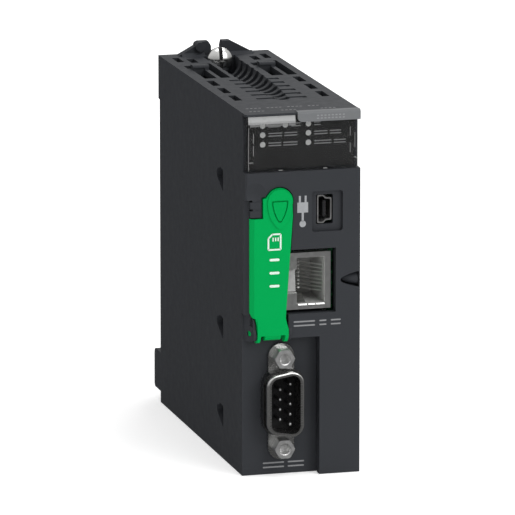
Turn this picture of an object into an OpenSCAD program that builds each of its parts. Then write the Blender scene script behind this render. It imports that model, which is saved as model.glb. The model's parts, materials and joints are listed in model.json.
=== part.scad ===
// Rack-mounted PLC processor module: a narrow upright box with a clear status window,
// a hinged memory-card door, three front connectors and one captive fixing screw on top.
// Millimetres. X points right, Y points to the rear (rack side), Z points up.
// The origin is the middle of the base: z = 0 is the underside.

/* [Module] */
// Width of the module
module_w = 32; // [32:0.5:34]
// Height of the box without the rear ears
module_h = 100; // [100:0.5:102]
// Depth of the box without feet and connectors
module_d = 93; // [90:0.5:96]
// Thickness of the casing walls
wall = 1.6; // [1.4:0.1:1.8]
// Thickness of the front bezel plate
bezel_t = 2.4; // [2.2:0.1:2.6]
// How far the locating feet stand behind the box
foot_len = 5.6; // [5:0.1:6]

/* [Card door] */
// Height of the door hinge axis
hinge_z = 39.8; // [39.6:0.1:40]
// Depth of the hinge axis behind the front plane
hinge_in = 1.8; // [1.7:0.1:1.9]
// Radius of the hinge pins
pin_r = 0.7; // [0.6:0.05:0.75]
// Thickness of the door panel
door_t = 1.6; // [1.5:0.1:1.7]
// How far the door stands in front of the bezel
door_proud = 0.5; // [0.4:0.1:0.6]

/* [Front connectors] */
// Depth of the stepped corner that holds the nine-pin connector
step_in = 3.6; // [3.4:0.1:3.8]
// How far the nine-pin shell stands in front of the box
dsub_proud = 2.4; // [2.2:0.1:2.6]
// Centre of the nine-pin connector, sideways
dsub_x = -5.3; // [-5.5:0.1:-5.1]
// Centre of the nine-pin connector, upwards
dsub_z = 20.3; // [20:0.1:20.6]
// Distance between the two jackscrews
jack_pitch = 24.99; // [24.9:0.01:25.1]
// Radius of the thread in each jackscrew
jack_hole_r = 1.42; // [1.4:0.01:1.45]

/* [Fixing screw] */
// Tilt of the captive screw, head end up
screw_tilt = 4.3; // [4:0.1:4.6]
// Height of the screw axis at the head
screw_z = 99.1; // [99:0.1:99.3]
// Radius of the screw head
head_r = 3.7; // [3.5:0.1:3.8]
// Radius of the screwdriver groove
groove_r = 4.2; // [4:0.1:4.3]
// Radius of the threaded end
thread_r = 2; // [1.9:0.05:2]
// How far the screw can be drawn out before its thread meets the ear
screw_travel = 5; // [4.8:0.1:5.1]

/* [Boards] */
// Left face of the main board
main_x = 8.2; // [8.2:0.1:8.4]
// Right face of the connector board
side_x = -11.3; // [-11.4:0.1:-11.3]
// Thickness of both boards
board_t = 1.6; // [1.5:0.1:1.6]

/* [Hidden] */
$fn = 48;
half_w = module_w / 2;
front_y = dsub_proud - (module_d + foot_len + dsub_proud) / 2;
rear_y = front_y + module_d;
inner_w = half_w - wall;
top_t = 1.8;
cut = 0.5;
gap = 0.2;

// Stepped corner at the lower left of the front
step_x = 4.7;
step_z = 38.3;
step_y = front_y + step_in;
step_back = step_y + bezel_t;
plate_back = front_y + bezel_t;

// Status window at the top of the front
window_z0 = 84.1;
window_z1 = 99.3;
window_x = 15.65;
window_t = 1.4;
panel_t = 1.4;
window_back = front_y + window_t;
panel_back = window_back + panel_t + 0.1;
display_floor = panel_back + 0.1;
display_floor_t = 2;
frame_back = display_floor + display_floor_t;
frame_z = 82.4;
light_dots = [[-10.8, 96.5], [-4.5, 96.5], [1.9, 96.5], [-10.8, 94], [1.9, 94], [-10.8, 91.4], [1.9, 91.4]];
dot_r = 0.75;
led_y = front_y + 7.4;
display_board_y = led_y + 0.8;

// Bullet-shaped notch beside the right edge of the bezel
notch_x = 10.5;
notch_z = 53.5;
notch_r = 2.2;
notch_x1 = half_w - 0.3;
tip_l = notch_x1 - 0.2 - notch_x - 0.5;

// Type plate at the top right corner
plate_x0 = -1.5;
plate_z0 = 97.3;
plate_proud = 0.15;

// Card door
hinge_y = front_y + hinge_in;
neck_x0 = -12.8;
neck_x1 = -4.2;
neck_r = 2.7;
barrel_r = 2.1;
ear_r = 2.25;
ear_x0 = -13.9;
side_cut = 4.6;
ear_x1 = -3.1;
door_front = front_y - door_proud;
door_back = door_front + door_t;
pocket_floor = door_back + 0.3;
pocket_t = 2;
tab_x = -6.6;
tab_z = 76;
tab_r = 3.7;

// Memory card and its socket
card_x0 = -10.15;
card_t = 2.1;
card_z0 = 46.9;
card_w = 24;
card_l = 32;
card_y = front_y + 5;
socket_y = card_y + 5;
socket_l = 30;

// Small serial port
usb_x0 = 4.2;
usb_w = 4;
usb_z = 73.1;
usb_h = 7.7;
usb_y = front_y + 1;
usb_l = 9.2;
usb_wall = 0.35;

// Network port
port_x0 = -5.2;
port_x1 = 8.2;
port_z = 53.5;
port_h = 15.6;
port_y = front_y + 1.5;
port_l = 21.3;
port_wall = 0.4;
cavity_x0 = -1.2;
cavity_x1 = 6.5;
cavity_h = 12.6;
cavity_l = 14;
wire_pitch = 1.02;

// Nine-pin connector
shell_rim = front_y - dsub_proud;
shell_w = 9.2;
shell_h = 18.1;
shell_wall = 0.55;
flange_t = 1;
flange_y = step_y - flange_t;
collar_w = 1.1;
collar_y = step_y - 3.4;
hex_af = 5;
pin_pitch = 2.76;
pin_columns = 2.84;

// Captive screw, measured along its own axis from the front of the head
screw_y = rear_y - 8.9;
head_l = 2.6;
washer_t = 0.5;
screw_len = 14.35;
thread_l = 3.3;
waist_r = 1.45;
hook_z = 87.6;
ear_top = 103.9;
ear_front = rear_y - 3.9;
ear_back = rear_y - 1.3;
rear_step = 1.4;

// Side windows and the bezel hooks that catch in them
hook_zs = [12, 36.7, 77.85];
hook_y0 = front_y + 23.1;
hook_y1 = front_y + 29.5;
hook_h = 6;
arm_t = 1.2;
arm_x = inner_w - 0.1 - arm_t;

// Rear
rear_plate_t = 2;
rear_plate_y = rear_y - rear_step - rear_plate_t;
bus_x0 = -0.8;
bus_z = 51.5;
bus_h = 55;
bus_y = rear_y - 10;
bus_l = 13.5;
bus_back = bus_y + bus_l;
foot_z0 = 3.2;
foot_z1 = 14.5;
foot_w = 4.4;

// Boards
main_y = front_y + 5.4;
main_l = 79;
side_y = front_y + 6.6;
side_l = 74.4;
board_z0 = 2.4;
main_h = 92;
side_h = 79.4;
spacers = [[front_y + 36, 8], [front_y + 78, 8], [front_y + 46, 77.5], [front_y + 78, 77.5]];
spacer_af = 5;

anthracite = [0.26, 0.265, 0.275];
light_grey = [0.45, 0.455, 0.46];
black = [0.09, 0.09, 0.1];
green = [0.0, 0.68, 0.35];
bright_steel = [0.78, 0.78, 0.76];
gold = [0.83, 0.68, 0.35];
board_green = [0.08, 0.35, 0.22];

// ---- Shared shapes ----

function unit(v) = v / norm(v);

// Points of an arc of radius r that rounds the corner p between its neighbours a and b
function fillet(a, p, b, r, n) =
    let (u = unit(a - p), w = unit(b - p), half = acos(u * w) / 2)
    let (c = p + unit(u + w) * r / sin(half), s = p + u * r / tan(half) - c)
    let (e = p + w * r / tan(half) - c, from = atan2(s[1], s[0]), raw = atan2(e[1], e[0]) - from)
    let (turn = raw > 180 ? raw - 360 : raw < -180 ? raw + 360 : raw)
    [for (i = [0:n]) c + r * [cos(from + turn * i / n), sin(from + turn * i / n)]];

// An outline with its corners rounded, one radius per corner or one for all
function rounded(pts, r, n = 6) =
    let (last = len(pts) - 1)
    [for (i = [0:last])
        let (ri = is_list(r) ? r[i] : r)
        each ri > 0 ? fillet(pts[i > 0 ? i - 1 : last], pts[i], pts[i < last ? i + 1 : 0], ri, n) : [pts[i]]];

// Where the tails of each pin column of the rear connector bend into the main board
function bus_tail_y(column) = bus_y - 4.6 + 2.54 * column;

function box_points(x0, z0, x1, z1) = [[x0, z0], [x1, z0], [x1, z1], [x0, z1]];

// A box from its lowest to its highest corner
module box(low, high) {
    translate(low) cube(high - low);
}

// An outline in X and Z, made thick along Y
module upright(y0, y1) {
    translate([0, y1, 0]) rotate([90, 0, 0]) linear_extrude(y1 - y0) children();
}

// An outline in Y and Z, made thick along X
module sideways(x0, x1) {
    translate([x0, 0, 0]) rotate([90, 0, 90]) linear_extrude(x1 - x0) children();
}

// Cylinders along X and along Y
module rod_x(x0, x1, y, z, r) {
    translate([x0, y, z]) rotate([0, 90, 0]) cylinder(h = x1 - x0, r = r);
}

module rod_y(y0, y1, x, z, r) {
    translate([x, y0, z]) rotate([-90, 0, 0]) cylinder(h = y1 - y0, r = r);
}

module hex_x(x0, x1, y, z, af) {
    translate([x0, y, z]) rotate([0, 90, 0]) cylinder(h = x1 - x0, r = af / 2 / cos(30), $fn = 6);
}

// Places children on the screw axis, local +Z running from the tip to the head, z = 0 at the head front
module on_screw_axis() {
    translate([0, screw_y, screw_z]) rotate([90 - screw_tilt, 0, 0]) children();
}

module both_sides() {
    children();
    mirror([1, 0, 0]) children();
}

// Half-drop opening in a side wall: straight front edge, round upper rear corner, pointed below
module hook_window(z) {
    half = hook_h / 2;
    polygon(rounded([[hook_y0, z - half], [hook_y0 + 0.6, z - half], [hook_y1 + 0.1, z + 0.1],
        [hook_y1 + 0.2, z + 1.9], [hook_y0 + 2.6, z + half + 0.1], [hook_y0, z + half - 0.3]],
        [0, 0.2, 1.2, 1.2, 1.6, 0.3], 4));
}

// ---- Casing ----

// Half the width of the groove where it meets the top at depth y
function groove_reach(y) =
    let (above = screw_z + (screw_y - y) * tan(screw_tilt) - module_h)
    above > 0 ? max(2.4, sqrt(max(0, groove_r * groove_r - above * above)) + 0.2) : groove_r + 0.2;

// Openings in the top around one cable bar, x0 is the left edge of the front opening
module bar_openings(x0) {
    box([x0 + 0.8, front_y + 54.2, module_h - 3], [x0 + 4.2, front_y + 67.6, module_h + cut]);
    box([x0, front_y + 70, module_h - 3], [x0 + 2, front_y + 74.5, module_h + cut]);
    box([x0 + 5.4, front_y + 54.2, module_h - 3], [x0 + 8.1, front_y + 76.4, module_h + cut]);
}

module cable_bar(x0) {
    sideways(x0 + 0.9, x0 + 5.5)
        polygon(rounded([[front_y + 67.2, module_h - 1.4], [front_y + 69.8, module_h - 1.4],
            [front_y + 71.4, module_h + 1.1], [front_y + 67.4, module_h + 1.3]], [0, 0, 0.8, 0.6], 4));
}

module top_openings() {
    both_sides() {
        for (d = [20.6:11.3:44]) {
            box([11.2, front_y + d, module_h - 3], [13.3, front_y + d + 7.6, module_h + cut]);
        }
        box([11.7, front_y + 80.4, module_h - 3], [13.6, front_y + 87.2, module_h + cut]);
        box([8, front_y + 78.6, module_h - 3], [10.1, front_y + 84.4, module_h + cut]);
    }
    bar_openings(-13.5);
    bar_openings(5.6);
    // Slots across the groove, as wide as it is there; the front ones run out on to the flat top
    // as shallow recesses, each with a short hole at its right end
    for (i = [0:10]) {
        y = front_y + 20.3 + 5.6 * i;
        reach = groove_reach(y + 1.1);
        box([-reach, y, module_h - 12], [reach, y + 2.2, module_h + cut]);
        box([-reach + 0.4, y - 0.5, module_h - 12], [reach - 0.4, y + 2.7, module_h + cut]);
        if (i < 6) {
            box([-7, y, module_h - 0.25], [7, y + 2.2, module_h + cut]);
            box([6, y + 0.4, module_h - 3], [7, y + 1.8, module_h]);
        }
    }
}

// The ears beside the screw: the left one is chamfered towards the screw and carries a small knob,
// the right one rises straight and slopes away
module ears() {
    upright(ear_front, ear_back) {
        polygon(rounded([[-1.3, hook_z], [-1.3, 102.4], [-2.3, ear_top], [-5, ear_top], [-6.2, 102.7],
            [-11.2, module_h], [-11.2, hook_z]], [0, 0.2, 0.3, 0, 0, 0, 0], 4));
        polygon(rounded([[1.3, hook_z], [11.1, hook_z], [11.1, module_h], [3.9, ear_top], [1.6, ear_top],
            [1.3, 102.4]], [0, 0, 0, 0.2, 0.2, 0], 4));
    }
    rod_y(ear_front - 1.1, ear_back, -5, ear_top - 1.3, 1.3);
    // Sloping fillet along the foot of each ear
    both_sides() sideways(3.6, 10.3)
        polygon([[ear_front - 1.5, module_h - 0.1], [ear_front + 0.1, module_h - 0.1], [ear_front + 0.1, module_h + 0.9]]);
}

module foot_block() {
    sideways(half_w - foot_w, half_w)
        polygon(rounded([[rear_y - 5, foot_z0], [rear_y + foot_len - 0.8, foot_z0],
            [rear_y + foot_len, foot_z0 + 0.8], [rear_y + foot_len, foot_z1], [rear_y - 5, foot_z1]],
            [0, 0.3, 0.3, 1.6, 0]));
}

// Bullet-shaped tip that shows in the notch of the bezel, grown from the right wall
module latch_tip() {
    translate([notch_x + 0.5, front_y + notch_r, notch_z]) rotate([0, 90, 0])
        rotate_extrude() polygon([for (i = [0:6]) [(notch_r - 0.35) * i / 6, tip_l * i * i / 36], [0, tip_l]]);
}

// Rail pairs on the floor that guide the lower edges of the boards
module board_rails() {
    for (x = [main_x - 1.1, main_x + board_t + 0.1, side_x - board_t - 1.1, side_x + 0.1]) {
        box([x, front_y + 20, wall - 0.1], [x + 1, rear_y - 16, board_z0 + 1.6]);
    }
}

module casing() {
    color(anthracite)
    difference() {
        union() {
            difference() {
                box([-half_w, plate_back, 0], [half_w, rear_y - rear_step, module_h]);
                box([-inner_w, plate_back - 1, wall], [inner_w, rear_y, module_h - top_t]);
            }
            // Trough that carries the screwdriver groove
            intersection() {
                box([-8, front_y + 14, 80], [8, rear_y - 2, module_h]);
                union() {
                    on_screw_axis() cylinder(h = 80, r = groove_r + 1.8);
                    box([-7, front_y + 70, 91.5], [7, rear_y - 2, module_h]);
                }
            }
            // Rear wall of the top, which hooks over the rack and holds the screw
            box([-half_w, rear_y - 4.5, hook_z], [half_w, rear_y, module_h]);
            ears();
            both_sides() foot_block();
            board_rails();
            latch_tip();
            cable_bar(-13.5);
            cable_bar(5.6);
            // Bosses for the rear cover screws
            both_sides() rod_y(rear_plate_y - 8, rear_plate_y, inner_w - 2.2, 84, 2.4);
            both_sides() rod_y(rear_plate_y - 8, rear_plate_y, inner_w - 2.2, 20, 2.4);
        }
        top_openings();
        // Groove, head pocket, waist hole, snap-in slot and counterbore on the screw axis
        on_screw_axis() {
            translate([0, 0, -0.1]) cylinder(h = 80, r = groove_r);
            translate([0, 0, -head_l - washer_t - 0.05]) cylinder(h = 6, r = groove_r);
            translate([0, 0, -screw_len]) cylinder(h = screw_len, r = waist_r + 0.15);
            translate([0, 0, -screw_len - 4]) cylinder(h = 4 + thread_l + screw_travel, r = thread_r + 0.25);
        }
        box([-4.6, screw_y - 3.1, 94.9], [4.6, screw_y + head_l + washer_t, module_h + cut]);
        box([-1.3, screw_y + head_l, screw_z - 1], [1.3, rear_y + 1, ear_top + 1]);
        // Face of the left ear that turns in towards the screw
        translate([0, 0, module_h + 0.1]) linear_extrude(8)
            polygon([[-3.7, ear_front - 0.01], [-1, ear_front - 0.01], [-1, ear_front + 1.5]]);
        // Room for the deep upper part of the bezel and for its stepped corner
        box([-half_w - 1, plate_back - 1, frame_z], [half_w + 1, frame_back, module_h + 1]);
        box([-half_w - 1, plate_back - 1, -1], [step_x + 1.8, step_back, step_z]);
        box([-half_w - 1, plate_back - 1, step_z - 1], [-13.2, step_back, 45]);
        // Windows for the bezel hooks
        sideways(-half_w - 1, -inner_w + 0.1) for (z = hook_zs) hook_window(z);
        sideways(inner_w - 0.1, half_w + 1) for (z = hook_zs) hook_window(z);
        // Pocket in the underside of each foot
        both_sides() box([half_w - 3.2, rear_y + 0.6, foot_z0 - 1], [half_w - 1.2, rear_y + 3, foot_z0 + 2]);
        // Screw pilots
        both_sides() {
            rod_y(rear_plate_y - 7, rear_plate_y + 1, inner_w - 2.2, 84, 1.05);
            rod_y(rear_plate_y - 7, rear_plate_y + 1, inner_w - 2.2, 20, 1.05);
        }
    }
}

module rear_cover() {
    clear = inner_w - gap;
    color(anthracite)
    difference() {
        union() {
            box([-clear, rear_plate_y, 16], [clear, rear_plate_y + rear_plate_t, hook_z - gap]);
            box([-half_w + foot_w + gap, rear_plate_y, wall + gap],
                [half_w - foot_w - gap, rear_plate_y + rear_plate_t, 16.1]);
            // Collar round the bus connector
            box([bus_x0 - 2, rear_plate_y, bus_z - bus_h / 2 - 2],
                [main_x + 2, rear_y + 0.6, bus_z + bus_h / 2 + 2]);
        }
        box([bus_x0 - gap, rear_plate_y - 1, bus_z - bus_h / 2 - gap],
            [main_x + gap, rear_y + 2, bus_z + bus_h / 2 + gap]);
        both_sides() {
            rod_y(rear_plate_y - 1, rear_y + 1, inner_w - 2.2, 84, 1.3);
            rod_y(rear_plate_y - 1, rear_y + 1, inner_w - 2.2, 20, 1.3);
        }
        for (i = [0:5]) {
            box([-12, rear_plate_y - 1, 30 + 8 * i], [-5, rear_y + 1, 32.4 + 8 * i]);
        }
    }
}

module cover_screws() {
    color(bright_steel) both_sides() for (z = [20, 84]) {
        rod_y(rear_plate_y - 6, rear_plate_y + rear_plate_t + 0.1, inner_w - 2.2, z, 1.05);
        difference() {
            rod_y(rear_plate_y + rear_plate_t, rear_plate_y + rear_plate_t + 1.3, inner_w - 2.2, z, 2);
            box([inner_w - 3.6, rear_plate_y + rear_plate_t + 0.7, z - 0.25],
                [inner_w - 0.8, rear_plate_y + rear_plate_t + 2, z + 0.25]);
        }
    }
}

// ---- Front ----

// Outline of the door without its hinge, grown by g
function door_points(g) = [[neck_x0 - g, hinge_z], [neck_x1 + g, hinge_z], [neck_x1 + g, 41],
    [-4.6 + g, 42.4], [-4.9 + g, 44.1], [-2.95 + g, 72], [-3.05 + g, tab_z - 1],
    each [for (a = [0:12:144]) [tab_x + (tab_r + g) * cos(a), tab_z + (tab_r + g) * sin(a)]],
    [-10.4 - g / 2, 77.1 + g], [-11.2 - g, 76.9 + g], [-11.2 - g, 71.5 + g], [-14.7 - g, 71.5 + g],
    [-14.7 - g, 45.8 - g], [-14.05 - g, 44.4 - g], [-13.3 - g, 44.2 - g], [-12.95 - g, 42.4]];

// Two small loops beside the door tab that take a seal wire
module seal_loops() {
    for (z = [71.9, 74.3]) {
        difference() {
            box([-14.7, front_y - 0.1, z], [-11.7, pocket_floor + 0.5, z + 1.8]);
            translate([-13.5, front_y + 0.6, z - 1]) cylinder(h = 4, r = 0.45);
        }
    }
}

// Triangle that takes a corner of width c off the left front edge at x
module edge_chamfer(x, c) {
    polygon([[x - 1, front_y - 1], [x + c, front_y - 1], [x + c, front_y], [x, front_y + c], [x - 1, front_y + c]]);
}

module hinge_ear(x0, x1) {
    sideways(x0, x1) union() {
        translate([hinge_y, hinge_z]) circle(r = ear_r);
        polygon([[hinge_y, hinge_z - ear_r + 0.05], [step_back, hinge_z - ear_r + 0.05], [step_back, 45],
            [pocket_floor + 0.1, 45], [pocket_floor + 0.1, hinge_z + ear_r - 0.05]]);
    }
}

// Hook arm that snaps into a window of the right side, from depth y0
module hook_arm(z, y0) {
    half = hook_h / 2 - 0.4;
    box([arm_x, y0 - 0.5, z - half], [arm_x + arm_t, hook_y1 + 1, z + half]);
    translate([0, 0, z - 1.3]) linear_extrude(3.6)
        polygon([[arm_x + arm_t - 0.3, hook_y0 + 0.2], [half_w - 0.4, hook_y0 + 0.2],
            [half_w - 0.4, hook_y0 + 1], [arm_x + arm_t - 0.3, hook_y0 + 3.6]]);
}

// Bullet outline that points left and ends just inside the right edge
function notch_points() =
    [for (i = [-8:8]) [notch_x + (notch_x1 - notch_x) * i * i / 64, notch_z + notch_r * i / 8]];

module front_bezel() {
    color(anthracite) {
        difference() {
            union() {
                difference() {
                    union() {
                        box([-half_w, front_y, 0], [half_w, plate_back, module_h]);
                        // Walls of the stepped corner and of the window pocket
                        box([-inner_w + 0.1, front_y + 1, step_z], [step_x + 1.6, step_back, 46.2]);
                        box([step_x, front_y + 1, wall + 0.1], [step_x + 1.6, step_back, step_z + 1]);
                        box([-half_w, front_y, frame_z], [half_w, frame_back, module_h]);
                        // Backing of the door pocket
                        box([-inner_w + 0.1, front_y + 1, 44], [-1, pocket_floor + pocket_t, frame_z + 0.2]);
                        // Sleeve that guides the memory card
                        box([card_x0 - 1, pocket_floor + 0.5, card_z0 - 1.8],
                            [card_x0 + card_t + 1, socket_y - 0.3, card_z0 + card_w + 1.8]);
                    }
                    box([-half_w - 1, front_y - 1, -1], [step_x, step_y, step_z]);
                    box([-half_w - 1, front_y - 1, step_z - 1], [-13.9, step_y, 44.9]);
                }
                box([-half_w, step_y, 0], [step_x + 1.6, step_back, step_z]);
                box([-half_w, step_y, step_z - 1], [-13.3, step_back, 44.9]);
                hinge_ear(ear_x0, neck_x0 - gap);
                // The left ear runs back to the side of the box as a slanting face
                intersection() {
                    hinge_ear(-half_w, ear_x0 + 0.1);
                    translate([0, 0, step_z - 2]) linear_extrude(10)
                        polygon([[ear_x0 + 0.2, front_y], [ear_x0, front_y + 0.4], [-half_w, front_y + side_cut],
                            [-half_w, step_back], [ear_x0 + 0.2, step_back]]);
                }
                hinge_ear(neck_x1 + gap, ear_x1);
            }
            // Door pocket, open to the left, and the room that the hinge barrel turns in
            upright(front_y - 1, pocket_floor) polygon(door_points(0.3));
            translate([0, 0, 44.6]) linear_extrude(32)
                polygon([[-half_w - 1, front_y - 1], [-14, front_y - 1], [-14, pocket_floor],
                    [-14.6, pocket_floor], [-half_w, pocket_floor + 0.8], [-half_w - 1, pocket_floor + 0.8]]);
            // Left vertical edge of the front
            translate([0, 0, -1]) linear_extrude(module_h + 2) edge_chamfer(-half_w, 0.5);
            box([neck_x0 - gap, front_y - 1, step_z - 2], [neck_x1 + gap, hinge_y, 45]);
            rod_x(neck_x0 - gap, neck_x1 + gap, hinge_y, hinge_z, neck_r + 0.35);
            rod_x(ear_x0 - 1, ear_x1 + 0.5, hinge_y, hinge_z, pin_r + 0.07);
            // Finger scoop beside the door tab
            translate([-13.2, front_y - 6.6, 78.4]) sphere(r = 7.2);
            // Card slot and the finger room round it
            box([card_x0 - gap, front_y, card_z0 - gap],
                [card_x0 + card_t + gap, socket_y + 1, card_z0 + card_w + gap]);
            upright(front_y, pocket_floor + pocket_t + 1)
                polygon(rounded(box_points(-13.2, 53, -6.2, 65), 2));
            // Window pocket and light-pipe holes
            box([-half_w - 1, front_y - 1, window_z0 - 0.1], [half_w + 1, display_floor, window_z1 + 0.1]);
            for (p = light_dots) {
                rod_y(front_y, led_y, p[0], p[1], dot_r + 0.05);
            }
            // Rebate for the type plate
            box([plate_x0 - 0.3, front_y - 1, plate_z0], [half_w + 1, front_y + 1.2, module_h + 1]);
            box([plate_x0 - 0.3, front_y - 1, module_h - 0.65], [half_w + 1, front_y + 2.3, module_h + 1]);
            // Serial port recess and slot
            upright(front_y - 1, front_y + 1) polygon(rounded(box_points(2.5, 67.1, 11.1, 78.2), 0.7));
            upright(front_y, front_y + 6) polygon(rounded(box_points(3.9, 69, 8.6, 77.1), 0.4));
            // Network port opening
            box([port_x0 - 0.2, front_y - 1, 44.8], [9.2, front_y + 9, 62.5]);
            upright(front_y - 1, plate_back + 1) polygon(notch_points());
            // Nine-pin connector opening and stud holes
            upright(front_y, step_back + 1) polygon(d_points(0.2));
            for (s = [-1, 1]) {
                rod_y(front_y, step_back + 1, dsub_x, dsub_z + s * jack_pitch / 2, 1.7);
            }
        }
        seal_loops();
        for (z = hook_zs) {
            hook_arm(z, plate_back);
            mirror([1, 0, 0]) hook_arm(z, z < step_z ? step_back : plate_back);
        }
    }
}

module display_window() {
    color([0.35, 0.36, 0.37, 0.4])
    difference() {
        union() {
            upright(front_y, window_back)
                polygon(rounded(box_points(-window_x, window_z0, window_x, window_z1), 0.3, 3));
            // Side returns, which wrap round the corners of the box
            both_sides() box([window_x - 0.9, front_y + 0.4, window_z0], [window_x, display_floor - 0.05, window_z1]);
            // Clip tabs on the lower edge
            for (x = [-5.6, 7]) {
                box([x - 1.1, front_y + 0.5, window_z0], [x + 1.1, display_floor - 0.05, window_z0 + 0.6]);
            }
        }
        upright(front_y - 1, front_y + 1.3)
            polygon(rounded(box_points(plate_x0 - 0.35, plate_z0 - 0.2, half_w + 1, module_h), [1.6, 0, 0, 0]));
        translate([0, 0, window_z0 - 1]) linear_extrude(20) edge_chamfer(-window_x, 0.35);
        // Bevel along the top left edge
        sideways(-half_w, plate_x0 - 0.3)
            polygon([[front_y - 1, 96.9], [front_y - 0.001, 96.9], [front_y + 0.5, 99.4], [front_y - 1, 99.4]]);
    }
}

module display_panel() {
    edge = window_x - 1;
    color(black)
    difference() {
        box([-edge, window_back + 0.05, window_z0 + 0.7], [edge, panel_back, window_z1 - 0.05]);
        for (p = light_dots) {
            rod_y(front_y, panel_back + 1, p[0], p[1], dot_r + 0.05);
        }
    }
}

module light_pipes() {
    color([0.75, 0.76, 0.77]) for (p = light_dots) {
        rod_y(window_back + 0.1, led_y - 0.1, p[0], p[1], dot_r);
    }
}

module display_board() {
    color(board_green) box([-13.6, display_board_y, 84.5], [main_x - 0.05, display_board_y + 1.2, 93.2]);
    color(board_green) box([-13.6, display_board_y, 93], [main_x - 0.05, display_board_y + 1.2, 97.6]);
}

module status_leds() {
    color([0.85, 0.85, 0.6]) for (p = light_dots) {
        box([p[0] - 0.8, led_y, p[1] - 0.6], [p[0] + 0.8, display_board_y, p[1] + 0.6]);
    }
}

module id_plate() {
    low = front_y - plate_proud;
    color(light_grey)
    difference() {
        union() {
            upright(low, front_y + 1.05)
                polygon(rounded(box_points(plate_x0, plate_z0 + 0.05, half_w, module_h + 0.1), [1.3, 0, 0, 0.2]));
            box([plate_x0, low, module_h - 0.6], [half_w, front_y + 2.2, module_h + 0.1]);
        }
        // Rounded front edge
        sideways(plate_x0 - 1, half_w + 1)
            polygon([[low - 1, module_h - 0.4], [low, module_h - 0.4], [low + 0.5, module_h + 0.1],
                [low + 0.5, module_h + 1], [low - 1, module_h + 1]]);
    }
}

// ---- Card door and card ----

// Points of a curve from a to c that is drawn towards b
function bend(a, b, c, n = 8) = [for (i = [0:n]) let (t = i / n) (1 - t) * (1 - t) * a + 2 * t * (1 - t) * b + t * t * c];

// Raised thumb pad: the round end of the tab, narrowing to a blunt point
function pad_points() = [
    each [for (a = [0:15:180]) [tab_x + (tab_r - 0.3) * cos(a), tab_z + (tab_r - 0.3) * sin(a)]],
    each bend([-10, tab_z - 0.6], [-9.9, 71.5], [-7.4, 69]), [-6.7, 68.6], [-6, 68.7],
    each bend([-5.7, 68.9], [-4, 70.6], [-3.25, tab_z - 2.6])];

// Thumb mark on the pad: a pick with curved sides, grown by g
function pick_points(g) = [[tab_x - 2 - g, 76.35 + g], [tab_x + 2 + g, 76.35 + g],
    each bend([tab_x + 2.3 + g, 76 + g], [tab_x + 2.1 + g, 72.9 - g], [tab_x + 0.35, 70.4 - g]),
    each bend([tab_x - 0.35, 70.4 - g], [tab_x - 2.1 - g, 72.9 - g], [tab_x - 2.3 - g, 76 + g])];

// Profile of the neck, seen from the side: it rolls forward over the hinge axis, ending in radius r
function neck_profile(r) = [[door_back, 44.6], [door_front, 44.6], [hinge_y - neck_r, 41.4],
    each [for (a = [180:15:330]) [hinge_y + (a < 190 ? neck_r : r) * cos(a), hinge_z + r * sin(a)]],
    [hinge_y + r - 0.3, hinge_z + 0.6], [hinge_y - 0.3, hinge_z + 2.6]];

module card_door() {
    color(green)
    difference() {
        union() {
            upright(door_front, door_back) polygon(door_points(0));
            // Raised thumb pad
            upright(door_front - 0.3, door_front + 0.1) polygon(pad_points());
            // Neck plate, two end lobes and the barrel between them, narrowing to the width of the door
            intersection() {
                union() {
                    sideways(neck_x0, neck_x1) polygon([[door_back, 44.6], [door_front, 44.6],
                        [hinge_y - neck_r, 41.4], [hinge_y - neck_r, hinge_z - 0.4], [hinge_y, hinge_z - 0.4],
                        [hinge_y + 0.6, hinge_z + 1]]);
                    sideways(neck_x0, neck_x0 + 0.9) polygon(neck_profile(neck_r));
                    sideways(neck_x1 - 0.9, neck_x1) polygon(neck_profile(neck_r));
                    sideways(neck_x0 + 2.2, neck_x1 - 1.9) polygon(neck_profile(barrel_r));
                }
                upright(front_y - 4, front_y + 6)
                    polygon([[neck_x0, 30], [neck_x1, 30], [neck_x1, 41], [-4.6, 42.4], [-4.95, 44], [-4.9, 45],
                        [neck_x0, 45]]);
            }
            rod_x(neck_x0 - gap - 1.55, neck_x1 + gap + 0.85, hinge_y, hinge_z, pin_r);
        }
        // Left edge bevelled round the corner of the box
        translate([0, 0, 44]) linear_extrude(28.5)
            polygon([[-half_w, front_y - 2], [-13.7, front_y - 2], [-13.7, door_front],
                [-14.75, door_front + 1.1], [-half_w, door_front + 1.1]]);
        // Outline of a thumb mark
        difference() {
            upright(door_front - 1, door_front + 0.15) polygon(pick_points(0));
            upright(door_front - 2, door_front + 1) polygon(pick_points(-0.38));
        }
    }
}

module memory_card() {
    x1 = card_x0 + card_t;
    top = card_z0 + card_w;
    color([0.12, 0.13, 0.16])
    difference() {
        sideways(card_x0, x1) polygon(rounded([[card_y, card_z0], [card_y + card_l, card_z0],
            [card_y + card_l, top - 4], [card_y + card_l - 4, top], [card_y, top]], [1, 1, 0.6, 0.6, 1], 3));
        // Thin edges that the socket rails hold, contact wells and the write-protect notch
        box([x1 - 0.7, card_y + 2, card_z0 - 1], [x1 + 1, card_y + card_l + 1, card_z0 + 1]);
        box([x1 - 0.7, card_y + 2, top - 1], [x1 + 1, card_y + card_l + 1, top + 1]);
        for (i = [0:7]) {
            box([card_x0 - 1, card_y + card_l - 5, card_z0 + 2 + 2.5 * i],
                [card_x0 + 0.5, card_y + card_l - 0.8, card_z0 + 3.7 + 2.5 * i]);
        }
        box([card_x0 - 1, card_y + 8, card_z0 - 1], [x1 + 1, card_y + 12, card_z0 + 0.7]);
    }
}

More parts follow.
